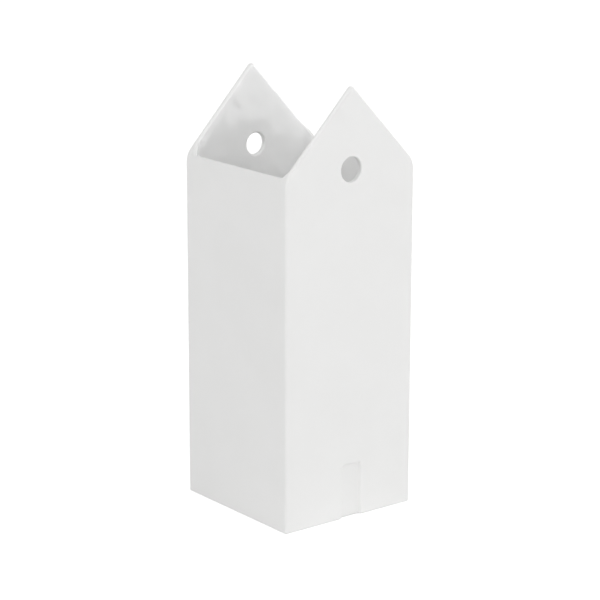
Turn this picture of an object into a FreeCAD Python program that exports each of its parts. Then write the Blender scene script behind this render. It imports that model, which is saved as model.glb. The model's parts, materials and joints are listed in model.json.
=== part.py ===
import FreeCAD, Part
import math
import os
import Sketcher
from FreeCAD import Vector

# Hanging wall vase in the shape of a narrow house, in millimetres.
# +Z is up, the front faces -Y and the wall it hangs on lies at +Y.
# The origin is the centre of the base.

DIMENSIONS = {
    # The whole vase
    "outer_width": 58.5,
    "outer_depth": 60.0,
    "eaves_height": 130.0,
    "front_gable_rise": 30.4,
    "rear_gable_rise": 31.4,
    # Porcelain
    "wall_thickness": 2.2,
    "floor_thickness": 3.0,
    "outer_edge_radius": 1.0,
    "inner_edge_radius": 0.8,
    "inner_corner_radius": 2.2,
    "base_edge_radius": 0.6,
    "eaves_radius": 8.0,
    "apex_radius": 1.5,
    # Hanging holes, placed from the eaves and the middle of their gables
    "front_hole_diameter": 9.4,
    "rear_hole_diameter": 8.7,
    "hole_edge_radius": 0.3,
    "front_hole_rise": 0.1,
    "rear_hole_rise": 0.5,
    "rear_hole_offset": 1.3,
    # Door recess, placed from the middle of the front
    "door_offset": 1.1,
    "door_width": 8.6,
    "door_height": 20.5,
    "door_depth": 1.2,
    "door_corner_radius": 0.9,
    "door_front_radius": 0.8,
    "door_back_radius": 0.3,
    # Glaze
    "glaze_thickness": 0.25,
    "glaze_margin": 1.0,
    "glaze_floor_radius": 1.4,
    # An edge's radius at most, as a share of the wall or the recess that it rounds
    "wall_edge_share": 0.48,
    "door_front_share": 0.68,
    "door_back_share": 0.28,
    # An edge's radius at most, as a share of the corner that it turns round
    "turned_edge_share": 0.75,
}

HALF_WIDTH = "(dimensions.outer_width / 2)"
HALF_DEPTH = "(dimensions.outer_depth / 2)"
INNER_X = "(dimensions.outer_width / 2 - dimensions.wall_thickness)"
INNER_Y = "(dimensions.outer_depth / 2 - dimensions.wall_thickness)"
JOINT_Y = "(dimensions.outer_depth / 2 - dimensions.wall_thickness - dimensions.inner_corner_radius)"
FLOOR_TOP = "dimensions.floor_thickness"
EAVES = "dimensions.eaves_height"
GLAZE_TOP = "(dimensions.eaves_height - dimensions.glaze_margin)"
WALL = "dimensions.wall_thickness"
DOOR_LEFT = "(dimensions.door_offset - dimensions.door_width / 2)"
DOOR_RIGHT = "(dimensions.door_offset + dimensions.door_width / 2)"
DOOR_TOP = "dimensions.door_height"

# Each gable's rise above the eaves, and its hole's place across and up and its radius
FRONT = (
    "dimensions.front_gable_rise",
    "0",
    f"({EAVES} + dimensions.front_hole_rise)",
    "dimensions.front_hole_diameter / 2",
)
REAR = (
    "dimensions.rear_gable_rise",
    "dimensions.rear_hole_offset",
    f"({EAVES} + dimensions.rear_hole_rise)",
    "dimensions.rear_hole_diameter / 2",
)


def smallest(*radii):
    """The least of several radii, as an expression."""
    return "min(" + "; ".join(radii) + ")"


# Radii that thin walls and tight corners hold back
WALL_LIMIT = f"{WALL} * dimensions.wall_edge_share"
APEX_LIMIT = "dimensions.apex_radius * dimensions.turned_edge_share"
OUTER_EDGE = smallest("dimensions.outer_edge_radius", WALL_LIMIT, APEX_LIMIT)
INNER_EDGE = smallest("dimensions.inner_edge_radius", WALL_LIMIT, APEX_LIMIT)
DOOR_FRONT = smallest("dimensions.door_front_radius", "dimensions.door_depth * dimensions.door_front_share")
DOOR_BACK = smallest("dimensions.door_back_radius", "dimensions.door_depth * dimensions.door_back_share")
BASE_EDGE = smallest(
    "dimensions.base_edge_radius",
    f"{OUTER_EDGE} * dimensions.turned_edge_share",
    f"{DOOR_FRONT} * dimensions.turned_edge_share",
)
GLAZE_CORNER = "(dimensions.inner_corner_radius - dimensions.glaze_thickness)"
GLAZE_FLOOR = smallest("dimensions.glaze_floor_radius", f"{GLAZE_CORNER} * dimensions.turned_edge_share")

# The ends and the centre of a sketch element
START, END, CENTRE = 1, 2, 3

# How far an edge may lie from the place it is looked for, as a share of its length
MATCH_SHARE = 0.001

# The spots on an edge where its place is read
EDGE_SPOTS = 5


def make_sheet(doc):
    """The driving dimensions, one to a row."""
    sheet = doc.addObject("Spreadsheet::Sheet", "dimensions")
    for row, (name, value) in enumerate(DIMENSIONS.items(), 1):
        sheet.set(f"A{row}", str(value))
        sheet.setAlias(f"A{row}", name)
    doc.recompute()


def value_of(doc, expression):
    """The number that an expression on the sheet gives now."""
    result = doc.getObject("dimensions").evalExpression(expression)
    return float(getattr(result, "Value", result))


def make_sketch(body, name, role, offset="0"):
    """A sketch on one of the body's own origin planes, moved along the plane's normal."""
    plane = next(feature for feature in body.Origin.OriginFeatures if feature.Role == role)
    sketch = body.newObject("Sketcher::SketchObject", name)
    sketch.AttachmentSupport = [(plane, "")]
    sketch.MapMode = "FlatFace"
    sketch.setExpression("AttachmentOffset.Base.z", offset)
    return sketch


def hold(sketch, kind, where, expression):
    """Adds a constraint whose size follows the sheet."""
    number = value_of(sketch.Document, expression)
    index = sketch.addConstraint(Sketcher.Constraint(kind, *where, number))
    sketch.setExpression(f"Constraints[{index}]", expression)


def hold_point(sketch, geometry, position, x, y):
    """Places one point of a sketch from the sketch's origin."""
    hold(sketch, "DistanceX", (-1, 1, geometry, position), x)
    hold(sketch, "DistanceY", (-1, 1, geometry, position), y)


def arc_between(start, stop, centre, radius):
    """The shorter arc between two points, drawn anticlockwise, and which of its ends start and stop are."""
    angles = [math.atan2(point.y - centre.y, point.x - centre.x) for point in (start, stop)]
    anticlockwise = (angles[1] - angles[0]) % (2 * math.pi) < math.pi
    first, last = angles if anticlockwise else reversed(angles)
    circle = Part.Circle(centre, Vector(0, 0, 1), radius)
    return Part.ArcOfCircle(circle, first, last), (START, END) if anticlockwise else (END, START)


def draw_outline(sketch, corners, arcs=None):
    """Draws a closed outline through corners. arcs gives a side's centre and radius where it is an arc."""
    arcs = arcs or {}
    doc = sketch.Document
    points = [Vector(value_of(doc, x), value_of(doc, y), 0) for x, y in corners]
    ends = []
    for side, start in enumerate(points):
        stop = points[(side + 1) % len(points)]
        if side in arcs:
            centre_x, centre_y, radius = arcs[side]
            centre = Vector(value_of(doc, centre_x), value_of(doc, centre_y), 0)
            curve, order = arc_between(start, stop, centre, value_of(doc, radius))
        else:
            curve, order = Part.LineSegment(start, stop), (START, END)
        sketch.addGeometry(curve)
        ends.append(order)
    for side, (x, y) in enumerate(corners):
        before = (side - 1) % len(corners)
        join = Sketcher.Constraint("Coincident", before, ends[before][1], side, ends[side][0])
        sketch.addConstraint(join)
        hold_point(sketch, side, ends[side][0], x, y)
    for side, (_, _, radius) in arcs.items():
        hold(sketch, "Radius", (side,), radius)


def draw_circle(sketch, x, y, radius):
    """Draws a circle held at a centre and a radius."""
    doc = sketch.Document
    centre = Vector(value_of(doc, x), value_of(doc, y), 0)
    circle = Part.Circle(centre, Vector(0, 0, 1), value_of(doc, radius))
    geometry = sketch.addGeometry(circle)
    hold_point(sketch, geometry, CENTRE, x, y)
    hold(sketch, "Radius", (geometry,), radius)


def draw_rectangle(sketch, left, bottom, right, top):
    """Draws a rectangle between two corners."""
    draw_outline(sketch, [(left, bottom), (right, bottom), (right, top), (left, top)])


def draw_rounded_rectangle(sketch, half_x, half_y, radius):
    """Draws a rectangle about the sketch's origin with round corners."""
    flat_x, flat_y = f"({half_x} - ({radius}))", f"({half_y} - ({radius}))"
    corners = [
        (f"-{flat_x}", f"-{half_y}"),
        (flat_x, f"-{half_y}"),
        (half_x, f"-{flat_y}"),
        (half_x, flat_y),
        (flat_x, half_y),
        (f"-{flat_x}", half_y),
        (f"-{half_x}", flat_y),
        (f"-{half_x}", f"-{flat_y}"),
    ]
    arcs = {
        1: (flat_x, f"-{flat_y}", radius),
        3: (flat_x, flat_y, radius),
        5: (f"-{flat_x}", flat_y, radius),
        7: (f"-{flat_x}", f"-{flat_y}", radius),
    }
    draw_outline(sketch, corners, arcs)


def add_pad(body, name, sketch, length):
    """A pad along the sketch's normal."""
    pad = body.newObject("PartDesign::Pad", name)
    pad.Profile = sketch
    pad.setExpression("Length", length)


def add_pocket(body, name, sketch, depth=None):
    """A pocket of a given depth, or through everything. The solid has to lose volume."""
    body.Document.recompute()
    before = body.Tip.Shape.Volume
    pocket = body.newObject("PartDesign::Pocket", name)
    pocket.Profile = sketch
    if depth is None:
        pocket.Type = "ThroughAll"
        pocket.SideType = "Symmetric"
    else:
        pocket.setExpression("Length", depth)
    body.Document.recompute()
    if pocket.Shape.Volume >= before:
        raise RuntimeError(f"{body.Label}: {name} cuts nothing")


def add_fillet(body, name, chosen, radius):
    """Rounds the edges of the body's last feature that chosen picks."""
    body.Document.recompute()
    base = body.Tip
    numbered = enumerate(base.Shape.Edges, 1)
    edges = [f"Edge{number}" for number, edge in numbered if not edge.Degenerated and chosen(edge)]
    if not edges:
        raise RuntimeError(f"{body.Label}: {name} finds no edge")
    fillet = body.newObject("PartDesign::Fillet", name)
    fillet.Base = (base, edges)
    fillet.setExpression("Radius", radius)
    body.Document.recompute()


def reach(edge, axis):
    """The least and the greatest coordinate of an edge along one axis."""
    places = [getattr(spot, axis) for spot in edge.discretize(EDGE_SPOTS)]
    return min(places), max(places)


def lies_at(edge, axis, place):
    """True where a whole edge lies at one coordinate."""
    low, high = reach(edge, axis)
    margin = edge.Length * MATCH_SHARE
    return place - margin < low and high < place + margin


def runs_along(edge, axis):
    """True for a straight edge along one axis, which reaches as far as it is long."""
    low, high = reach(edge, axis)
    return edge.Length - (high - low) < edge.Length * MATCH_SHARE


def gable_slab(doc, name, facing, rise, hole_x, hole_height, hole_radius):
    """One gabled wall with its rounded outline and its hole. facing is -1 at the front and 1 at the rear."""
    body = doc.addObject("PartDesign::Body", name)
    inner_face = INNER_Y if facing < 0 else f"-{HALF_DEPTH}"
    sketch = make_sketch(body, f"{name}_outline", "XZ_Plane", inner_face)
    corners = [
        (f"-{HALF_WIDTH}", FLOOR_TOP),
        (HALF_WIDTH, FLOOR_TOP),
        (HALF_WIDTH, EAVES),
        ("0", f"{EAVES} + {rise}"),
        (f"-{HALF_WIDTH}", EAVES),
    ]
    draw_outline(sketch, corners)
    add_pad(body, f"{name}_pad", sketch, WALL)

    eaves, apex = value_of(doc, EAVES), value_of(doc, f"{EAVES} + {rise}")
    add_fillet(
        body,
        f"{name}_eaves",
        lambda edge: runs_along(edge, "y") and lies_at(edge, "z", eaves),
        "dimensions.eaves_radius",
    )
    add_fillet(
        body,
        f"{name}_apex",
        lambda edge: runs_along(edge, "y") and lies_at(edge, "z", apex),
        "dimensions.apex_radius",
    )

    outer, inner = facing * value_of(doc, HALF_DEPTH), facing * value_of(doc, INNER_Y)
    floor_top = value_of(doc, FLOOR_TOP)
    add_fillet(
        body,
        f"{name}_outer_edge",
        lambda edge: lies_at(edge, "y", outer) and not lies_at(edge, "z", floor_top),
        OUTER_EDGE,
    )
    add_fillet(
        body,
        f"{name}_inner_edge",
        lambda edge: lies_at(edge, "y", inner) and not lies_at(edge, "z", floor_top),
        INNER_EDGE,
    )

    hole = make_sketch(body, f"{name}_hole_outline", "XZ_Plane", inner_face)
    draw_circle(hole, hole_x, hole_height, hole_radius)
    add_pocket(body, f"{name}_hole", hole)
    add_fillet(
        body,
        f"{name}_hole_edge",
        lambda edge: edge.Curve.TypeId == "Part::GeomCircle" and edge.Closed,
        "dimensions.hole_edge_radius",
    )
    return body


def cut_door(body, low, high):
    """Sinks the door recess into the front of a body between two heights and softens its edges."""
    doc, name = body.Document, body.Name
    sketch = make_sketch(body, f"{name}_door_outline", "XZ_Plane", HALF_DEPTH)
    draw_rectangle(sketch, DOOR_LEFT, low, DOOR_RIGHT, high)
    add_pocket(body, f"{name}_door", sketch, "dimensions.door_depth")

    front = -value_of(doc, HALF_DEPTH)
    back = front + value_of(doc, "dimensions.door_depth")
    margin = value_of(doc, "dimensions.door_width") * MATCH_SHARE
    door_left, door_right = value_of(doc, DOOR_LEFT) - margin, value_of(doc, DOOR_RIGHT) + margin
    door_top = value_of(doc, DOOR_TOP)
    if high == DOOR_TOP:
        add_fillet(
            body,
            f"{name}_door_corners",
            lambda edge: runs_along(edge, "y") and lies_at(edge, "z", door_top),
            "dimensions.door_corner_radius",
        )

    def frames_door(edge, depth):
        left, right = reach(edge, "x")
        foot, head = reach(edge, "z")
        within = door_left < left and right < door_right
        return lies_at(edge, "y", depth) and within and (head > foot or lies_at(edge, "z", door_top))

    add_fillet(body, f"{name}_door_back", lambda edge: frames_door(edge, back), DOOR_BACK)
    add_fillet(body, f"{name}_door_front", lambda edge: frames_door(edge, front), DOOR_FRONT)


def side_run(doc, name, side):
    """A level side wall drawn from inside one gabled wall to inside the other, with coves at its ends."""
    body = doc.addObject("PartDesign::Body", name)
    sketch = make_sketch(body, f"{name}_plan", "XY_Plane", FLOOR_TOP)
    way = "" if side > 0 else "-"
    radius = "dimensions.inner_corner_radius"
    outer_x = f"{way}{HALF_WIDTH}"
    inner_x = f"{way}{INNER_X}"
    cove_x = f"{way}({INNER_X} - {radius})"
    end_y = f"({HALF_DEPTH} - {WALL} / 2)"
    corners = [
        (outer_x, f"-{end_y}"),
        (outer_x, end_y),
        (cove_x, end_y),
        (cove_x, INNER_Y),
        (inner_x, JOINT_Y),
        (inner_x, f"-{JOINT_Y}"),
        (cove_x, f"-{INNER_Y}"),
        (cove_x, f"-{end_y}"),
    ]
    arcs = {
        3: (cove_x, JOINT_Y, radius),
        5: (cove_x, f"-{JOINT_Y}", radius),
    }
    draw_outline(sketch, corners, arcs)
    add_pad(body, f"{name}_pad", sketch, f"{EAVES} - {FLOOR_TOP}")

    eaves = value_of(doc, EAVES)
    outer_face = side * value_of(doc, HALF_WIDTH)
    inner_face = value_of(doc, INNER_X) * (1 + MATCH_SHARE)
    cove_end = value_of(doc, INNER_Y) * (1 + MATCH_SHARE)
    add_fillet(
        body,
        f"{name}_outer_rim",
        lambda edge: runs_along(edge, "y") and lies_at(edge, "x", outer_face) and lies_at(edge, "z", eaves),
        OUTER_EDGE,
    )

    def on_inner_rim(edge):
        left, right = reach(edge, "x")
        front, rear = reach(edge, "y")
        inside = max(abs(left), abs(right)) < inner_face and max(abs(front), abs(rear)) < cove_end
        return lies_at(edge, "z", eaves) and inside and not runs_along(edge, "x")

    add_fillet(body, f"{name}_inner_rim", on_inner_rim, INNER_EDGE)
    return body


def floor_slab(doc):
    """The base slab that the walls stand on, with the foot of the door recess in its front."""
    body = doc.addObject("PartDesign::Body", "floor")
    sketch = make_sketch(body, "floor_plan", "XY_Plane")
    draw_rectangle(sketch, f"-{HALF_WIDTH}", f"-{HALF_DEPTH}", HALF_WIDTH, HALF_DEPTH)
    add_pad(body, "floor_pad", sketch, FLOOR_TOP)
    add_fillet(body, "floor_corners", lambda edge: runs_along(edge, "z"), OUTER_EDGE)
    cut_door(body, "0", FLOOR_TOP)
    add_fillet(body, "floor_base_edge", lambda edge: lies_at(edge, "z", 0), BASE_EDGE)
    return body


def gable_glaze(body, name, facing, rise, hole_x, hole_height, hole_radius):
    """The glaze on the inner face of one gable above the eaves, opened round the hole."""
    glaze = "dimensions.glaze_thickness"
    near_plane = INNER_Y if facing < 0 else f"-({INNER_Y} - {glaze})"
    far_plane = f"{INNER_Y} - {glaze}" if facing < 0 else f"-{INNER_Y}"
    slope = f"({rise} / ({HALF_WIDTH}))"
    drop = f"dimensions.glaze_margin * sqrt(1 + {slope} ^ 2)"
    shoulder_x = f"({INNER_X} - dimensions.inner_corner_radius)"
    shoulder_z = f"{EAVES} + {slope} * (dimensions.wall_thickness + dimensions.inner_corner_radius) - {drop}"
    foot_z = f"{GLAZE_TOP} - {glaze}"
    corners = [
        (f"-{shoulder_x}", foot_z),
        (shoulder_x, foot_z),
        (shoulder_x, shoulder_z),
        ("0", f"{EAVES} + {rise} - {drop}"),
        (f"-{shoulder_x}", shoulder_z),
    ]
    sketch = make_sketch(body, f"{name}_glaze_outline", "XZ_Plane", far_plane)
    draw_outline(sketch, corners)
    add_pad(body, f"{name}_glaze_pad", sketch, glaze)

    hole = make_sketch(body, f"{name}_glaze_hole_outline", "XZ_Plane", near_plane)
    draw_circle(hole, hole_x, hole_height, f"{hole_radius} + dimensions.hole_edge_radius")
    add_pocket(body, f"{name}_glaze_hole", hole, glaze)


def glaze_lining(doc):
    """The thin coat of glaze: a tub inside the walls, and the two gables above it."""
    body = doc.addObject("PartDesign::Body", "glaze_lining")
    glaze = "dimensions.glaze_thickness"
    outside = make_sketch(body, "glaze_outer_plan", "XY_Plane", FLOOR_TOP)
    draw_rounded_rectangle(outside, INNER_X, INNER_Y, "dimensions.inner_corner_radius")
    add_pad(body, "glaze_tub", outside, f"{GLAZE_TOP} - {FLOOR_TOP}")

    inside = make_sketch(body, "glaze_inner_plan", "XY_Plane", GLAZE_TOP)
    inside_x, inside_y = f"({INNER_X} - {glaze})", f"({INNER_Y} - {glaze})"
    draw_rounded_rectangle(inside, inside_x, inside_y, GLAZE_CORNER)
    add_pocket(body, "glaze_tub_inside", inside, f"{GLAZE_TOP} - {FLOOR_TOP} - {glaze}")
    floor_z = value_of(doc, f"{FLOOR_TOP} + {glaze}")
    add_fillet(body, "glaze_floor_edge", lambda edge: lies_at(edge, "z", floor_z), GLAZE_FLOOR)
    gable_glaze(body, "front", -1, *FRONT)
    gable_glaze(body, "rear", 1, *REAR)
    return body


def joint_box(doc, name, low_y, high_y):
    """A box that takes in one stretch of the vase's depth, over its whole width and height."""
    box = doc.addObject("Part::Box", name)
    box.setExpression("Length", "dimensions.outer_width")
    box.setExpression("Width", f"{high_y} - ({low_y})")
    box.setExpression("Height", EAVES)
    box.setExpression("Placement.Base.x", f"-{HALF_WIDTH}")
    box.setExpression("Placement.Base.y", low_y)
    return box


def common_of(doc, name, base, tool):
    """The part of one solid that lies in another."""
    common = doc.addObject("Part::Common", name)
    common.Base = base
    common.Tool = tool
    return common


def gabled_wall(doc, name, slab, runs, box):
    """A gabled slab with the short returns of the side walls that turn its two corners."""
    returns = [common_of(doc, f"{name}_return_{run.Name}", run, box) for run in runs]
    wall = doc.addObject("Part::MultiFuse", name)
    wall.Shapes = [slab, *returns]
    wall.Refine = True
    return wall


def check(doc, parts):
    """Stops unless every object is sound and every sub-part is one valid solid."""
    for item in doc.Objects:
        if "Invalid" in item.State or "Error" in item.State:
            raise RuntimeError(f"{item.Name} failed: {item.State}")
    for part in parts:
        shape = part.Shape
        if shape.isNull() or not shape.isValid() or len(shape.Solids) != 1:
            raise RuntimeError(f"{part.Label} isn't one valid solid")


def main():
    doc = FreeCAD.newDocument("hanging_wall_vase")
    make_sheet(doc)
    front_slab = gable_slab(doc, "front_slab", -1, *FRONT)
    cut_door(front_slab, FLOOR_TOP, DOOR_TOP)
    rear_slab = gable_slab(doc, "rear_slab", 1, *REAR)
    runs = [side_run(doc, "left_run", -1), side_run(doc, "right_run", 1)]
    front_box = joint_box(doc, "front_box", f"-{HALF_DEPTH}", f"-{JOINT_Y}")
    middle_box = joint_box(doc, "middle_box", f"-{JOINT_Y}", JOINT_Y)
    rear_box = joint_box(doc, "rear_box", JOINT_Y, HALF_DEPTH)

    parts = [
        gabled_wall(doc, "front_wall", front_slab, runs, front_box),
        gabled_wall(doc, "rear_wall", rear_slab, runs, rear_box),
        common_of(doc, "left_wall", runs[0], middle_box),
        common_of(doc, "right_wall", runs[1], middle_box),
        floor_slab(doc),
        glaze_lining(doc),
    ]
    doc.recompute()
    check(doc, parts)

    os.makedirs("parts", exist_ok=True)
    for part in parts:
        part.Shape.exportStep(f"parts/{part.Label}.step")
        print(part.Label, round(part.Shape.Volume), "mm3,", len(part.Shape.Faces), "faces")


main()
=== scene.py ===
import json
import math

import bmesh
import bpy
import numpy as np
from mathutils import Matrix, Vector


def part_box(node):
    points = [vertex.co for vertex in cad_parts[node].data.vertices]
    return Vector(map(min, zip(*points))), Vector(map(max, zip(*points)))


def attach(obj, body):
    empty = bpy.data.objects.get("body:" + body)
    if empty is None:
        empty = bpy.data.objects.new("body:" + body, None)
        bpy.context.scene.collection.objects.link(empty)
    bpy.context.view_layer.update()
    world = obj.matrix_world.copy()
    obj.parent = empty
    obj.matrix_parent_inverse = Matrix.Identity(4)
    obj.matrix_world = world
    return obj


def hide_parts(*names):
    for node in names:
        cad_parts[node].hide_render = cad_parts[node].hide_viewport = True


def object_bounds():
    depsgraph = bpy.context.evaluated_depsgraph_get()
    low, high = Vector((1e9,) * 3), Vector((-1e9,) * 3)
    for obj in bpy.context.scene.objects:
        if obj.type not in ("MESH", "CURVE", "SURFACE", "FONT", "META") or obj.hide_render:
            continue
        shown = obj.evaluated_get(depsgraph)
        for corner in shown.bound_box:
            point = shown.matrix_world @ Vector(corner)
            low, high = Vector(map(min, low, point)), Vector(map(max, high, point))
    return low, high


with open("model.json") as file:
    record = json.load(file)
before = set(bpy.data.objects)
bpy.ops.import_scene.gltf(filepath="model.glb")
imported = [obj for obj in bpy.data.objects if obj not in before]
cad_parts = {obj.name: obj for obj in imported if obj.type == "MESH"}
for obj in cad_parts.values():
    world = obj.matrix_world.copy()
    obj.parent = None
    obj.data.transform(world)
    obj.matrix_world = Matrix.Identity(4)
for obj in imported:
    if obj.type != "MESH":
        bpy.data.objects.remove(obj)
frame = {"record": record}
cad_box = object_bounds()

# A hanging wall vase of white porcelain in the shape of a narrow house: matt bisque outside and
# clear glaze inside. The front with the door recess faces -Y, and the side that hangs on a wall
# faces +Y.

MM = 0.001

# Main sizes, read from the frame
HALF_WIDTH, HALF_DEPTH = cad_box[1].x, cad_box[1].y
SIDE_LOW, SIDE_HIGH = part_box("right_wall")
WALL = SIDE_HIGH.x - SIDE_LOW.x
EAVES = SIDE_HIGH.z
JOINT = SIDE_HIGH.y
FLOOR_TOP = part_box("floor")[1].z
INNER_X, INNER_Y = HALF_WIDTH - WALL, HALF_DEPTH - WALL
PEAKS = {"front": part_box("front_wall")[1].z, "rear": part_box("rear_wall")[1].z}

# The hanging holes, read from the mounts, and which way along Y their walls face
MOUNTS = {mount["name"]: mount for mount in frame["record"]["mounts"]}
HOLE_MOUNTS = {"front": MOUNTS["front_hole"], "rear": MOUNTS["rear_hanging_hole"]}
HOLES = {name: mount["pos_m"] for name, mount in HOLE_MOUNTS.items()}
BORE_RADII = {name: mount["dims"]["r_mm"] * MM for name, mount in HOLE_MOUNTS.items()}
OUTWARD = {"front": -1, "rear": 1}

# How far the holes' edges are rounded, and how much narrower than its bore a hole is in the
# middle of the wall
HOLE_EDGES = {"front": 0.5 * MM, "rear": 0.7 * MM}
HOLE_NARROWING = {"front": 0.1 * MM, "rear": 0.3 * MM}
HOLE_RADII = {name: BORE_RADII[name] - HOLE_NARROWING[name] for name in HOLES}

# The door recess in the front wall
DOOR_MIDDLE = 1.1 * MM
DOOR_HALF = 4.3 * MM
DOOR_TOP = 20.5 * MM
DOOR_DEPTH = 1.05 * MM
DOOR_CORNER = 0.9 * MM
DOOR_FRONT_EDGE = 0.8 * MM
DOOR_BACK_EDGE = 0.6 * MM

# How softly the slip-cast edges turn
CORNER_OUTSIDE = 1.0 * MM
FRONT_CORNER_INSIDE = 0.9 * MM
REAR_CORNER_INSIDE = 4.0 * MM
RIM_OUTSIDE = 0.8 * MM
RIM_INSIDE = 1.0 * MM
RIM_FLARE = 0.35 * MM
RIM_FLARE_REACH = 3.2 * MM
EAVES_TURN = 8.0 * MM
APEX_TURN = 1.5 * MM
BASE_EDGE = 0.7 * MM
FLOOR_COVE = 1.5 * MM

# How long the level rim of the sides takes to turn into the gables' outline: short inside the
# front corners only
TURN_UP = 4.0 * MM
FRONT_TURN_UP_INSIDE = 0.5 * MM

# The coat of glaze: its thickness, how deep its back lies in the clay, how far below the rim it
# ends, the width over which it thins out, and how far along that thinning it is at its edge
GLAZE = 0.15 * MM
GLAZE_SINK = 0.03 * MM
GLAZE_EDGE_DROP = 0.32 * MM
GLAZE_FEATHER = 5.0 * MM
GLAZE_EDGE_SHARE = 0.22

# How unevenly the glaze lies: a share of its thickness, and for each axis the radians to the
# metre and the start of its wave
GLAZE_WAVE = 0.15
GLAZE_WAVE_TURNS = ((310, 1), (270, 0), (190, 2))

# How a surface is felt out: the step to either side, the least steepness that is reckoned with,
# and the rounds of moving points on to it
PROBE = 0.01 * MM
LEAST_STEEPNESS = 0.2
SETTLING_ROUNDS = 8

# The rounds of smoothing, and how deep in the clay a face lies that counts as a joint face
SMOOTHING_ROUNDS = 2
JOINT_FACE_DEPTH = 0.1 * MM


def round_over(first, second, radius, lean=0.0):
    """Distance to the clay behind two faces, with the edge between them rounded.

    lean is the cosine of the angle between the directions in which the faces look.
    """
    from_first, from_second = first + radius, second + radius
    on_turn = (from_first > lean * from_second) & (from_second > lean * from_first)
    square = from_first**2 + from_second**2 - 2 * lean * from_first * from_second
    turn = np.sqrt(np.maximum(square, 0) / (1 - lean**2)) - radius
    return np.where(on_turn, turn, np.maximum(first, second))


def ease(value):
    """Runs from 0 to 1 with soft ends."""
    share = np.clip(value, 0, 1)
    return share * share * (3 - 2 * share)


def gable_rise(peak):
    """How far above the eaves a gable's two slopes would meet if its tip weren't rounded."""
    rise = peak - EAVES
    return rise + APEX_TURN * (math.hypot(1, rise / HALF_WIDTH) - 1)


RISES = {name: gable_rise(peak) for name, peak in PEAKS.items()}


def pitch_at(y):
    """The slope of the nearer gable."""
    return np.where(y < 0, RISES["front"], RISES["rear"]) / HALF_WIDTH


def in_gable(x, y):
    """0 along the side walls and 1 in the two gabled walls."""
    turn_inside = np.where(y < 0, FRONT_TURN_UP_INSIDE, TURN_UP)
    turn_up = turn_inside + (TURN_UP - turn_inside) * ease((np.abs(x) - INNER_X) / WALL)
    return ease((np.abs(y) - INNER_Y) / turn_up + 1)


def house_outline(x, y, z):
    """Distance to the house seen from the front: sloped in the gabled walls, level at the sides."""
    pitch = pitch_at(y)
    lean = np.hypot(1, pitch)
    left = (z - EAVES - pitch * (HALF_WIDTH + x)) / lean
    right = (z - EAVES - pitch * (HALF_WIDTH - x)) / lean
    side = np.abs(x) - HALF_WIDTH
    gable = round_over(left, right, APEX_TURN, (1 - pitch**2) / (1 + pitch**2))
    gable = round_over(gable, side, EAVES_TURN, pitch / lean)
    level = round_over(z - EAVES, side, RIM_OUTSIDE)
    share = in_gable(x, y)
    return level * (1 - share) + gable * share


def beside_hole(x, z, name):
    """Distance to a hanging hole, under zero in the hole."""
    middle_x, _, middle_z = HOLES[name]
    return np.hypot(x - middle_x, z - middle_z) - HOLE_RADII[name]


def porcelain(points):
    """Distance to the fired clay, under zero inside it."""
    x, y, z = points.T
    house = house_outline(x, y, z)
    outside = round_over(house, np.abs(y) - HALF_DEPTH, CORNER_OUTSIDE)
    outside = round_over(outside, -z, BASE_EDGE)
    flare = RIM_FLARE * ease(1 + house / RIM_FLARE_REACH)
    corner = np.where(y < 0, FRONT_CORNER_INSIDE, REAR_CORNER_INSIDE)
    room = round_over(np.abs(x) - INNER_X, np.abs(y) - INNER_Y, corner) - flare
    room = round_over(room, FLOOR_TOP - z, FLOOR_COVE)
    clay = round_over(outside, -room, RIM_INSIDE)
    for name, side in OUTWARD.items():
        bore = np.maximum(beside_hole(x, z, name), -side * y)
        clay = round_over(clay, -bore, HOLE_EDGES[name])
    door = round_over(np.abs(x - DOOR_MIDDLE) - DOOR_HALF, z - DOOR_TOP, DOOR_CORNER)
    door = round_over(door, y + HALF_DEPTH - DOOR_DEPTH, DOOR_BACK_EDGE)
    return round_over(clay, -door, DOOR_FRONT_EDGE)


def glaze_thickness(points):
    """How thick the glaze lies: it thins out at the rim and round the holes, and is sunk there."""
    x, y, z = points.T
    from_edge = -house_outline(x, y, z) - GLAZE_EDGE_DROP
    for name, side in OUTWARD.items():
        from_mouth = beside_hole(x, z, name) - HOLE_EDGES[name]
        from_edge = np.where(side * y > JOINT, np.minimum(from_edge, from_mouth), from_edge)
    wave = GLAZE_WAVE
    for along, (turns, start) in zip((x, y, z), GLAZE_WAVE_TURNS):
        wave = wave * np.sin(along * turns + start)
    share = GLAZE_EDGE_SHARE + from_edge / GLAZE_FEATHER
    return (GLAZE * (1 + wave) + GLAZE_SINK) * ease(share) - GLAZE_SINK


def glazed(points):
    """Distance to the glaze that lies on the clay."""
    return porcelain(points) - glaze_thickness(points)


def sunk(points):
    """Distance to the glaze's back, a little way into the clay."""
    return porcelain(points) + GLAZE_SINK


def facing(shape, points):
    """The direction straight out of a surface at each point, and how fast the distance grows."""
    slopes = []
    for axis in np.eye(3):
        rise = shape(points + axis * PROBE) - shape(points - axis * PROBE)
        slopes.append(rise / (2 * PROBE))
    slope = np.stack(slopes, axis=1)
    steepness = np.maximum(np.linalg.norm(slope, axis=1, keepdims=True), LEAST_STEEPNESS)
    return slope / steepness, steepness[:, 0]


def settle(shape, points):
    """Moves points straight on to a surface."""
    for _ in range(SETTLING_ROUNDS):
        outward, steepness = facing(shape, points)
        points = points - outward * (shape(points) / steepness)[:, None]
    return points


def mirrored(lines):
    """The same lines on the other side of the middle, from left to right."""
    return [-line for line in reversed(lines)]


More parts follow.
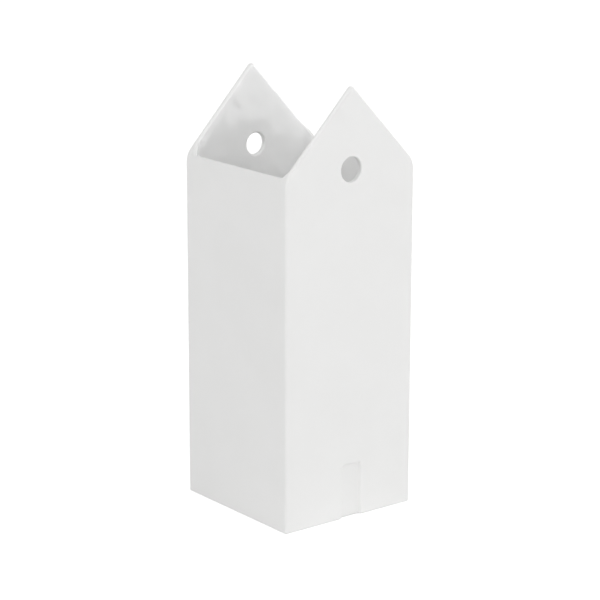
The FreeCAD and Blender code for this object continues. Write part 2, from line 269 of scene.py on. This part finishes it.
# The net of faces has columns, which stand on lines across the walls: at the door's edges, the
# sides of the block round each hole, and the corners
DOOR_OFFSETS = [line * MM for line in (0.5, 1.1, 1.9, 3.2, 4, 4.6, 5.5)]
WALL_OFFSETS = [line * MM for line in (8, 16, 24.5, 26.6, 27.6)]
SIDE_OFFSETS = [line * MM for line in (14, 25.4, 26.8, 27.6, 28.3)]
DOOR_LINES = [DOOR_MIDDLE + line for line in (*mirrored(DOOR_OFFSETS), 0.0, *DOOR_OFFSETS)]
FRONT_LINES = mirrored(WALL_OFFSETS) + DOOR_LINES + WALL_OFFSETS
REAR_LINES = mirrored(FRONT_LINES)
SIDE_LINES = [*mirrored(SIDE_OFFSETS), 0.0, *SIDE_OFFSETS]
CORNER_ANGLES = [math.radians(angle) for angle in (22.5, 45, 67.5)]

# How many columns a gabled wall and a side wall have, with the flat part's two ends and the
# corner at the right
FRONT_COUNT = len(FRONT_LINES) + 2 + len(CORNER_ANGLES)
SIDE_COUNT = len(SIDE_LINES) + 2 + len(CORNER_ANGLES)

# The block of faces that makes room for a hole: its half width and a little play for finding it,
# its rows, and the distance from the hole's side to the faces that keep its edge crisp
HOLE_BLOCK = 8.0 * MM
BLOCK_PLAY = 0.1 * MM
BLOCK_SHARES = [0.38, 0.45, 0.52, 0.59, 0.66]
HOLE_SUPPORT = 1.9 * MM

# The net's rings run round the walls: level ones up to LEVEL_TOP, then at shares of the way from
# there to the rim, then over the round of the rim, and last over the floor and under the base, at
# insets counted in wall thicknesses
LEVEL_TOP = 96.0 * MM
OUTER_LEVELS = [height * MM for height in (0.6, 1.6, 8, 16, 19.3, 20.1, 20.9, 21.9, 30, 60, 96)]
INNER_LEVELS = [height * MM for height in (96, 62, 30, 12, 5.4, 3.7)]
LOW_SHARE, HIGH_SHARE = 0.2, 0.85
RIM_SUPPORT = 2.6 * MM
BARE_RIM_ANGLES = (0, 22.5, 45, 67.5, 90, 112.5, 135)
GLAZED_RIM_ANGLES = (157.5, 180)
BASE_INSETS = (1.7, 0.8, 0.25)
FLOOR_INSETS = (1.35, 2.1)


def inner_line(outer, flat_outside, flat_inside):
    """Where a line of the outer face comes out on the inner face, which is shorter."""
    if abs(outer) <= HOLE_BLOCK:
        return outer
    share = (abs(outer) - HOLE_BLOCK) / (flat_outside - HOLE_BLOCK)
    return math.copysign(HOLE_BLOCK + share * (flat_inside - HOLE_BLOCK), outer)


def wall_columns(lines, outer, inner, corners, turn):
    """Pairs of outer and inner plan points along one wall and round its right-hand corner.

    corners gives the inner corners' radii at the wall's left and right ends.
    """
    flat_outside = outer[0] - CORNER_OUTSIDE
    columns = []
    for line in (-flat_outside, *lines, flat_outside):
        beside = inner_line(line, flat_outside, inner[0] - corners[line > 0])
        columns.append([turn @ Vector((line, -outer[1])), turn @ Vector((beside, -inner[1]))])
    for angle in CORNER_ANGLES:
        away = Vector((math.sin(angle) - 1, 1 - math.cos(angle)))
        corner_outside = Vector((outer[0], -outer[1])) + CORNER_OUTSIDE * away
        corner_inside = Vector((inner[0], -inner[1])) + corners[1] * away
        columns.append([turn @ corner_outside, turn @ corner_inside])
    return columns


def all_columns():
    """The columns round the vase, anticlockwise from above, from the front wall's left end."""
    front, rear = FRONT_CORNER_INSIDE, REAR_CORNER_INSIDE
    corners = (front, front, rear, rear, front)
    columns = []
    for quarter, lines in enumerate((FRONT_LINES, SIDE_LINES, REAR_LINES, SIDE_LINES)):
        turn = Matrix.Rotation(quarter * math.pi / 2, 2)
        outer, inner = (HALF_WIDTH, HALF_DEPTH), (INNER_X, INNER_Y)
        if quarter % 2:
            outer, inner = outer[::-1], inner[::-1]
        columns += wall_columns(lines, outer, inner, corners[quarter:quarter + 2], turn)
    return columns


def crest(point):
    """The rim's height over a plan point, and how much longer its slope is than its run there."""
    pitch = float(in_gable(point.x, point.y) * pitch_at(point.y))
    return EAVES + pitch * (HALF_WIDTH - abs(point.x)), math.hypot(1, pitch)


def in_door(point, height):
    """True where the door recess lies in front of a point of the front wall."""
    return point.y < -INNER_Y and abs(point.x - DOOR_MIDDLE) < DOOR_HALF and height < DOOR_TOP


def at_height(inset, height):
    """A ring at one height, at a depth into the wall, set back behind the door recess."""

    def place(outer, inner):
        point = outer.lerp(inner, inset / WALL)
        if inset < WALL and in_door(outer, height):
            point = point + Vector((0, DOOR_DEPTH * (1 - inset / (2 * WALL))))
        return Vector((point.x, point.y, height))

    return place


def under_tip(point):
    """A plan point of the lines over the door recess, drawn in to meet the gable's tip."""
    near = 1 - abs(point.x - DOOR_MIDDLE) / HOLE_BLOCK
    return Vector((point.x - DOOR_MIDDLE * max(near, 0), point.y))


def below_rim(inset, drop):
    """A ring that follows the rim at a distance below it, measured square to the rim."""

    def place(outer, inner):
        point = under_tip(outer.lerp(inner, inset / WALL))
        height, lean = crest(point)
        return Vector((point.x, point.y, height - drop * lean))

    return place


def up_to_rim(inset, share):
    """A ring at a share of the way from LEVEL_TOP to the rim."""

    def place(outer, inner):
        point = outer.lerp(inner, inset / WALL)
        height, _ = crest(point)
        return Vector((point.x, point.y, LEVEL_TOP + share * (height - LEVEL_TOP)))

    return place


def over_rim(angle):
    """A ring on the round of the rim, 0 outside and 180 inside."""
    inset = WALL / 2 * (1 - math.cos(math.radians(angle)))
    return below_rim(inset, WALL / 2 * (1 - math.sin(math.radians(angle))))


# The rings in the order in which they run: from under the base up the outside, over the rim and
# down to the floor
COLUMNS = all_columns()
BELOW = [at_height(inset * WALL, 0) for inset in BASE_INSETS]
BELOW += [at_height(0, height) for height in OUTER_LEVELS]
BELOW += [up_to_rim(0, LOW_SHARE)]
OUTER_BLOCK = [up_to_rim(0, share) for share in BLOCK_SHARES]
BARE_RIM = [up_to_rim(0, HIGH_SHARE), below_rim(0, RIM_SUPPORT)]
BARE_RIM += [over_rim(angle) for angle in BARE_RIM_ANGLES]
GLAZED_RIM = [over_rim(angle) for angle in GLAZED_RIM_ANGLES]
GLAZED_RIM += [below_rim(WALL, RIM_SUPPORT), up_to_rim(WALL, HIGH_SHARE)]
INNER_BLOCK = [up_to_rim(WALL, share) for share in reversed(BLOCK_SHARES)]
DOWN = [up_to_rim(WALL, LOW_SHARE)]
DOWN += [at_height(WALL, height) for height in INNER_LEVELS]
DOWN += [at_height(inset * WALL, FLOOR_TOP) for inset in FLOOR_INSETS]
RINGS = BELOW + OUTER_BLOCK + BARE_RIM + GLAZED_RIM + INNER_BLOCK + DOWN
OUTER_START = len(BELOW)
GLAZE_START = OUTER_START + len(OUTER_BLOCK) + len(BARE_RIM) - 1
INNER_START = GLAZE_START + 1 + len(GLAZED_RIM)

# What a face of the net is coated with
CLAY, GLAZED = 0, 1


def add_face(mesh, corners, coat):
    """Adds a face to the net, with its coat: CLAY or GLAZED."""
    mesh.faces.new(corners).material_index = coat


def join_loops(mesh, loop, after, coat, left_out=()):
    """Joins two closed loops of the same length with faces, but for the spots left out."""
    for spot, vert in enumerate(loop):
        if spot not in left_out:
            beside = (spot + 1) % len(loop)
            add_face(mesh, (vert, loop[beside], after[beside], after[spot]), coat)


def weave_rings(mesh, rings, block_columns):
    """Joins all the rings with faces, but for the blocks where the hanging holes come through."""
    steps = len(BLOCK_SHARES) - 1
    block_levels = [start + step for start in (OUTER_START, INNER_START) for step in range(steps)]
    for level, (ring, after) in enumerate(zip(rings, rings[1:])):
        left_out = block_columns if level in block_levels else ()
        join_loops(mesh, ring, after, GLAZED if level >= GLAZE_START else CLAY, left_out)


def fill_from_wall_to_wall(mesh, ring, coat):
    """Fills a ring with a grid of faces, in line with the columns on all four walls."""
    half_corner = (len(CORNER_ANGLES) + 1) // 2
    loop = ring[-half_corner:] + ring[:-half_corner]
    wide, deep = FRONT_COUNT + 1, SIDE_COUNT + 1
    front, rear = loop[:wide], loop[wide + deep - 2:2 * wide + deep - 2][::-1]
    rows = [front]
    for spot in range(1, deep - 1):
        right, share = loop[wide - 1 + spot], spot / (deep - 1)
        middle = []
        for near, far in zip(front[1:-1], rear[1:-1]):
            x = near.co.x + share * (far.co.x - near.co.x)
            middle.append(mesh.verts.new((x, right.co.y, right.co.z)))
        rows.append([loop[-spot], *middle, right])
    rows.append(rear)
    for row, after in zip(rows, rows[1:]):
        for spot in range(wide - 1):
            add_face(mesh, (row[spot], row[spot + 1], after[spot + 1], after[spot]), coat)


def block_edge(rings, columns):
    """The vertices round the block of a hanging hole, from its first row of rings to its last."""
    low, *middle, high = rings
    loop = [low[column] for column in columns]
    loop += [ring[columns[-1]] for ring in middle]
    loop += [high[column] for column in reversed(columns)]
    return loop + [ring[columns[0]] for ring in reversed(middle)]


def bore_hole(mesh, name, rings, columns):
    """Leads the faces round a hanging hole through the wall, from outside to inside."""
    middle_x, _, middle_z = HOLES[name]
    rows, edge = len(BLOCK_SHARES), HOLE_EDGES[name]
    outside = block_edge(rings[OUTER_START:OUTER_START + rows], columns)
    inside = block_edge(rings[INNER_START:INNER_START + rows][::-1], columns)
    stops = [
        (HOLE_SUPPORT, HALF_DEPTH, CLAY),
        (edge, HALF_DEPTH, CLAY),
        (0, HALF_DEPTH - edge, CLAY),
        (0, INNER_Y + edge, CLAY),
        (edge, INNER_Y, CLAY),
        (HOLE_SUPPORT, INNER_Y, GLAZED),
    ]
    loop = outside
    for margin, reach, coat in stops:
        radius = HOLE_RADII[name] + margin
        ring = []
        for vert in outside:
            around = math.atan2(vert.co.z - middle_z, vert.co.x - middle_x)
            x, z = middle_x + radius * math.cos(around), middle_z + radius * math.sin(around)
            ring.append(mesh.verts.new((x, OUTWARD[name] * reach, z)))
        join_loops(mesh, loop, ring, coat)
        loop = ring
    join_loops(mesh, loop, inside, GLAZED)


def vase_cage():
    """The coarse net of faces over the whole vase."""
    mesh = bmesh.new()
    rings = [[mesh.verts.new(place(outer, inner)) for outer, inner in COLUMNS] for place in RINGS]
    blocks = {"front": [], "rear": []}
    for column, (outer, _) in enumerate(COLUMNS):
        if abs(outer.x) < HOLE_BLOCK + BLOCK_PLAY and abs(outer.y) > INNER_Y:
            blocks["front" if outer.y < 0 else "rear"].append(column)
    weave_rings(mesh, rings, blocks["front"][:-1] + blocks["rear"][:-1])
    for name, columns in blocks.items():
        bore_hole(mesh, name, rings, columns)
    fill_from_wall_to_wall(mesh, rings[0], CLAY)
    fill_from_wall_to_wall(mesh, rings[-1], GLAZED)
    bmesh.ops.recalc_face_normals(mesh, faces=mesh.faces)
    return mesh


def add_object(name, data):
    """A new object in the scene."""
    new = bpy.data.objects.new(name, data)
    bpy.context.scene.collection.objects.link(new)
    return new


def smoothed(cage):
    """A cage's finer mesh, by subdivision surface."""
    coarse = bpy.data.meshes.new("cage")
    cage.to_mesh(coarse)
    cage.free()
    holder = add_object("cage", coarse)
    holder.modifiers.new("smooth", "SUBSURF").levels = SMOOTHING_ROUNDS
    depsgraph = bpy.context.evaluated_depsgraph_get()
    fine = bpy.data.meshes.new_from_object(holder.evaluated_get(depsgraph))
    bpy.data.objects.remove(holder)
    bpy.data.meshes.remove(coarse)
    return fine


def places(mesh):
    """A mesh's vertices as an array."""
    flat = np.empty(len(mesh.vertices) * 3)
    mesh.vertices.foreach_get("co", flat)
    return flat.reshape(-1, 3)


def whole_vase():
    """The mesh of the whole vase: the smoothed net, settled on to the true surface."""
    mesh = smoothed(vase_cage())
    mesh.vertices.foreach_set("co", settle(porcelain, places(mesh)).ravel())
    return mesh


def shade(mesh, directions):
    """Shades each face by its own array of a direction for every vertex, or flat for None."""
    normals = []
    for face, own in zip(mesh.polygons, directions):
        face.use_smooth = True
        for vertex in face.vertices:
            normals.append(tuple(face.normal if own is None else own[vertex]))
    mesh.normals_split_custom_set(normals)


def vase_object(name, mesh, node, material):
    """A finished piece that stands for its CAD node."""
    piece = add_object(name, mesh)
    mesh.materials.clear()
    mesh.materials.append(material)
    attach(piece, "root")
    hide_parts(node)
    return piece


# The joint planes between the clay pieces: a point on each and the side that is cut away. The
# walls' seam with the floor lies a little over the floor, clear of the net's own faces.
SEAM_LIFT = 0.1 * MM
SEAM = FLOOR_TOP + SEAM_LIFT
OVER_SEAM = ((0, 0, SEAM), (0, 0, 1))
UNDER_SEAM = ((0, 0, SEAM), (0, 0, -1))
BEHIND_FRONT = ((0, -JOINT, 0), (0, 1, 0))
BEFORE_SIDES = ((0, -JOINT, 0), (0, -1, 0))
BEHIND_SIDES = ((0, JOINT, 0), (0, 1, 0))
BEFORE_REAR = ((0, JOINT, 0), (0, -1, 0))
RIGHT_HALF = ((0, 0, 0), (1, 0, 0))
LEFT_HALF = ((0, 0, 0), (-1, 0, 0))
CLAY_PIECES = {
    "floor": [OVER_SEAM],
    "front_wall": [UNDER_SEAM, BEHIND_FRONT],
    "rear_wall": [UNDER_SEAM, BEFORE_REAR],
    "left_wall": [UNDER_SEAM, BEFORE_SIDES, BEHIND_SIDES, RIGHT_HALF],
    "right_wall": [UNDER_SEAM, BEFORE_SIDES, BEHIND_SIDES, LEFT_HALF],
}


def cut_away(mesh, point, direction):
    """Cuts away what lies beyond a plane and closes the face left there."""
    parts = [*mesh.verts, *mesh.edges, *mesh.faces]
    plane = {"plane_co": point, "plane_no": direction}
    cut = bmesh.ops.bisect_plane(mesh, geom=parts, clear_outer=True, **plane)
    edges = [part for part in cut["geom_cut"] if isinstance(part, bmesh.types.BMEdge)]
    bmesh.ops.triangle_fill(mesh, edges=edges, use_beauty=True, normal=direction)


def make_clay_piece(name, whole, material):
    """One wall or the floor, cut from the whole vase at its joint planes."""
    cut = bmesh.new()
    cut.from_mesh(whole)
    for point, direction in CLAY_PIECES[name]:
        cut_away(cut, point, direction)
    mesh = bpy.data.meshes.new(name)
    cut.to_mesh(mesh)
    cut.free()
    outward, _ = facing(porcelain, places(mesh))
    centres = np.array([face.center for face in mesh.polygons])
    joint_faces = porcelain(centres) < -JOINT_FACE_DEPTH
    shade(mesh, [None if hidden else outward for hidden in joint_faces])
    return vase_object("clay_" + name, mesh, name, material)


def open_edge(patch):
    """The vertices on the open edge of a patch of faces."""
    uses = {}
    for face in patch:
        for start, end in zip(face, face[1:] + face[:1]):
            edge = (min(start, end), max(start, end))
            uses[edge] = uses.get(edge, 0) + 1
    return {vertex for edge, count in uses.items() if count == 1 for vertex in edge}


def make_glaze(whole, material):
    """The coat of glaze on the inside, closed by its own back, which bites into the clay."""
    patch = [tuple(face.vertices) for face in whole.polygons if face.material_index == GLAZED]
    used = sorted({vertex for face in patch for vertex in face})
    shared = open_edge(patch)
    within = [vertex for vertex in used if vertex not in shared]
    number = {vertex: spot for spot, vertex in enumerate(used)}
    back_number = {**number, **{vertex: len(used) + spot for spot, vertex in enumerate(within)}}
    clay = places(whole)
    front, back = settle(glazed, clay[used]), settle(sunk, clay[within])
    faces = [[number[vertex] for vertex in face] for face in patch]
    faces += [[back_number[vertex] for vertex in reversed(face)] for face in patch]
    mesh = bpy.data.meshes.new("glaze_lining")
    mesh.from_pydata([*front, *back], [], faces)
    outward, _ = facing(glazed, places(mesh))
    inward, _ = facing(sunk, places(mesh))
    shade(mesh, [outward] * len(patch) + [-inward] * len(patch))
    return vase_object("glaze_coat", mesh, "glaze_lining", material)


def add_node(tree, kind, inputs=None, **settings):
    """A shader node with its settings and plain input values."""
    node = tree.nodes.new(kind)
    for name, value in settings.items():
        setattr(node, name, value)
    for name, value in (inputs or {}).items():
        node.inputs[name].default_value = value
    return node


def wire(tree, *runs):
    """Joins nodes, each run given as a node, its output, the next node and its input."""
    for start, output, end, entry in runs:
        tree.links.new(start.outputs[output], end.inputs[entry])


def new_group(name, inputs, output):
    """A node group with its sockets, its two end nodes and the place on the object."""
    group = bpy.data.node_groups.new(name, "ShaderNodeTree")
    for socket in inputs:
        group.interface.new_socket(socket, in_out="INPUT", socket_type="NodeSocketFloat")
    group.interface.new_socket(output, in_out="OUTPUT", socket_type="NodeSocketFloat")
    kinds = ("NodeGroupInput", "NodeGroupOutput", "ShaderNodeTexCoord")
    return group, *(group.nodes.new(kind) for kind in kinds)


def kiln_mottling():
    """The faint uneven tone and finish that firing leaves, as a mask from 0 to 1."""
    group, entry, leave, place = new_group("kiln mottling", ["Patch Scale"], "Mask")
    patches = {"Detail": 4.0, "Roughness": 0.55, "Distortion": 0.4}
    clouds = add_node(group, "ShaderNodeTexNoise", patches)
    spread = add_node(group, "ShaderNodeMapRange", {"From Min": 0.3, "From Max": 0.7})
    wire(
        group,
        (place, "Object", clouds, "Vector"),
        (entry, "Patch Scale", clouds, "Scale"),
        (clouds, "Fac", spread, "Value"),
        (spread, "Result", leave, "Mask"),
    )
    return group


def cast_surface():
    """The height of fine grain over slow unevenness, as slip leaves it against a plaster mould."""
    inputs = ["Grain Scale", "Grain Share", "Wave Scale"]
    group, entry, leave, place = new_group("cast surface", inputs, "Height")
    grain = add_node(group, "ShaderNodeTexNoise", {"Detail": 3.0, "Roughness": 0.6})
    waves = add_node(group, "ShaderNodeTexNoise", {"Detail": 1.0, "Roughness": 0.4})
    blend = add_node(group, "ShaderNodeMix", data_type="FLOAT")
    wire(
        group,
        (place, "Object", grain, "Vector"),
        (place, "Object", waves, "Vector"),
        (entry, "Grain Scale", grain, "Scale"),
        (entry, "Wave Scale", waves, "Scale"),
        (entry, "Grain Share", blend, "Factor"),
        (waves, "Fac", blend, "A"),
        (grain, "Fac", blend, "B"),
        (blend, "Result", leave, "Height"),
    )
    return group


MOTTLING = kiln_mottling()
CAST_SURFACE = cast_surface()


def porcelain_material(name, tones, patch_scale, roughness, surface, relief):
    """A fired surface: two near tones, a roughness that varies with them, and a relief.

    Scales are in patches, grains or waves to the metre. relief is a strength and a height.
    """
    material = bpy.data.materials.new(name)
    material.use_nodes = True
    tree = material.node_tree
    shader = tree.nodes["Principled BSDF"]
    patches = {"Patch Scale": patch_scale}
    mottling = add_node(tree, "ShaderNodeGroup", patches, node_tree=MOTTLING)
    colours = {"A": (*tones[0], 1), "B": (*tones[1], 1)}
    tone = add_node(tree, "ShaderNodeMix", colours, data_type="RGBA")
    gloss = add_node(tree, "ShaderNodeMapRange", {"To Min": roughness[0], "To Max": roughness[1]})
    cast = add_node(tree, "ShaderNodeGroup", surface, node_tree=CAST_SURFACE)
    bump = add_node(tree, "ShaderNodeBump", {"Strength": relief[0], "Distance": relief[1]})
    wire(
        tree,
        (mottling, "Mask", tone, "Factor"),
        (tone, "Result", shader, "Base Color"),
        (mottling, "Mask", gloss, "Value"),
        (gloss, "Result", shader, "Roughness"),
        (cast, "Height", bump, "Height"),
        (bump, "Normal", shader, "Normal"),
    )
    return material, shader


def bisque():
    """Matt unglazed porcelain, smooth to the touch."""
    material, shader = porcelain_material(
        "bisque porcelain",
        tones=((0.885, 0.885, 0.878), (0.872, 0.872, 0.864)),
        patch_scale=45.0,
        roughness=(0.7, 0.8),
        surface={"Grain Scale": 2600.0, "Grain Share": 0.5, "Wave Scale": 70.0},
        relief=(0.35, 0.02 * MM),
    )
    shader.inputs["Specular IOR Level"].default_value = 0.3
    return material


def clear_glaze():
    """Thin clear glaze over the white clay, so it shows the clay's tone under a gloss."""
    material, shader = porcelain_material(
        "clear glaze",
        tones=((0.91, 0.91, 0.905), (0.895, 0.897, 0.893)),
        patch_scale=60.0,
        roughness=(0.04, 0.09),
        surface={"Grain Scale": 900.0, "Grain Share": 0.02, "Wave Scale": 112.0},
        relief=(1.0, 0.75 * MM),
    )
    shader.inputs["IOR"].default_value = 1.7
    return material


# Studio light: the strength of the even light from all round, and for each soft box its azimuth
# and elevation in degrees and its power in watts
AMBIENT = 0.3
LAMP_REACH = 2.4
LAMP_SIZE = 1.48
SOFT_BOXES = {
    "left soft box": (-75, 40, 22.8),
    "front soft box": (15, 30, 17.9),
    "right soft box": (80, 20, 18.4),
    "rear soft box": (180, 15, 10.0),
}

# The white sheet that the vase stands on: its half width, how far it lies under the base, the
# share of light that it throws back, and where it is seen directly, its brightness and how much
# of it is plain white
SHEET_HALF = 3.0
SHEET_DROP = 0.02 * MM
SHEET_TONE = 0.97
SHEET_SEEN = 2.1
SHEET_GLOW = 0.75

# The camera, fitted to the straight edges in the photo, with its angles in degrees
CAMERA_PLACE = Vector((-0.4871, -0.6232, 0.2859))
CAMERA_LENS = 133.2
CAMERA_SENSOR = 36.0
CAMERA_AZIMUTH = -38.042
CAMERA_ELEVATION = 14.839
CAMERA_ROLL = 0.149

WHITE = (1, 1, 1, 1)


def seen_directly(tree):
    """1 for rays from the camera and for those by way of a gloss or through something clear."""
    path = tree.nodes.new("ShaderNodeLightPath")
    either = add_node(tree, "ShaderNodeMath", operation="MAXIMUM")
    any_of_them = add_node(tree, "ShaderNodeMath", operation="MAXIMUM")
    wire(
        tree,
        (path, "Is Camera Ray", either, 0),
        (path, "Is Glossy Ray", either, 1),
        (either, 0, any_of_them, 0),
        (path, "Is Transmission Ray", any_of_them, 1),
    )
    return any_of_them


def white_studio():
    """Even white light from all round, over a white backdrop."""
    world = bpy.data.worlds.new("studio")
    bpy.context.scene.world = world
    world.use_nodes = True
    tree = world.node_tree
    light = tree.nodes["Background"]
    light.inputs["Color"].default_value = WHITE
    light.inputs["Strength"].default_value = AMBIENT
    backdrop = add_node(tree, "ShaderNodeBackground", {"Color": WHITE, "Strength": 1.0})
    mix = tree.nodes.new("ShaderNodeMixShader")
    wire(
        tree,
        (seen_directly(tree), 0, mix, "Fac"),
        (light, 0, mix, 1),
        (backdrop, 0, mix, 2),
        (mix, 0, tree.nodes["World Output"], "Surface"),
    )


def sheet_material():
    """White, and where it is seen directly it keeps only a faint shadow."""
    material = bpy.data.materials.new("white floor")
    material.use_nodes = True
    tree = material.node_tree
    tree.nodes.clear()
    seen = seen_directly(tree)
    tone = add_node(tree, "ShaderNodeMix", {"A": SHEET_TONE, "B": SHEET_SEEN}, data_type="FLOAT")
    lit = tree.nodes.new("ShaderNodeBsdfDiffuse")
    glow = add_node(tree, "ShaderNodeEmission", {"Color": WHITE, "Strength": 1.0})
    share = add_node(tree, "ShaderNodeMath", {1: SHEET_GLOW}, operation="MULTIPLY")
    mix = tree.nodes.new("ShaderNodeMixShader")
    leave = tree.nodes.new("ShaderNodeOutputMaterial")
    wire(
        tree,
        (seen, 0, tone, "Factor"),
        (tone, "Result", lit, "Color"),
        (seen, 0, share, 0),
        (share, 0, mix, "Fac"),
        (lit, 0, mix, 1),
        (glow, 0, mix, 2),
        (mix, 0, leave, "Surface"),
    )
    return material


def white_floor():
    """A plain white floor under the vase."""
    half = SHEET_HALF
    corners = [(-half, -half, 0), (half, -half, 0), (half, half, 0), (-half, half, 0)]
    mesh = bpy.data.meshes.new("floor_sheet")
    mesh.from_pydata(corners, [], [(0, 1, 2, 3)])
    mesh.materials.append(sheet_material())
    sheet = add_object("floor_sheet", mesh)
    sheet.location.z = -SHEET_DROP


def direction_at(azimuth, elevation):
    """The direction out from the vase, with azimuth 0 in front and 90 to the right, in degrees."""
    turn, rise = math.radians(azimuth), math.radians(elevation)
    level = math.cos(rise)
    return Vector((math.sin(turn) * level, -math.cos(turn) * level, math.sin(rise)))


def soft_box(name, azimuth, elevation, power):
    """A large soft lamp aimed at the middle of the vase."""
    lamp = bpy.data.lights.new(name, "AREA")
    lamp.size = LAMP_SIZE
    lamp.energy = power
    holder = add_object(name, lamp)
    away = direction_at(azimuth, elevation)
    holder.location = Vector((0, 0, EAVES / 2)) + LAMP_REACH * away
    holder.rotation_euler = away.to_track_quat("Z", "Y").to_euler()


def photo_camera():
    """The camera at the photo's viewing angle."""
    data = bpy.data.cameras.new("camera")
    data.lens = CAMERA_LENS
    data.sensor_width = CAMERA_SENSOR
    data.sensor_fit = "HORIZONTAL"
    camera = add_object("camera", data)
    turn, roll = math.radians(CAMERA_AZIMUTH), math.radians(CAMERA_ROLL)
    back = direction_at(CAMERA_AZIMUTH, CAMERA_ELEVATION)
    right = Vector((math.cos(turn), math.sin(turn), 0))
    up = back.cross(right)
    turned_right = math.cos(roll) * right + math.sin(roll) * up
    turned_up = -math.sin(roll) * right + math.cos(roll) * up
    axes = Matrix((turned_right, turned_up, back)).transposed().to_4x4()
    camera.matrix_world = Matrix.Translation(CAMERA_PLACE) @ axes
    bpy.context.scene.camera = camera


vase = whole_vase()
bisque_material = bisque()
for node_name in CLAY_PIECES:
    make_clay_piece(node_name, vase, bisque_material)
make_glaze(vase, clear_glaze())
white_studio()
white_floor()
for box_name, box_values in SOFT_BOXES.items():
    soft_box(box_name, *box_values)
photo_camera()
bpy.context.scene.view_settings.view_transform = "Standard"
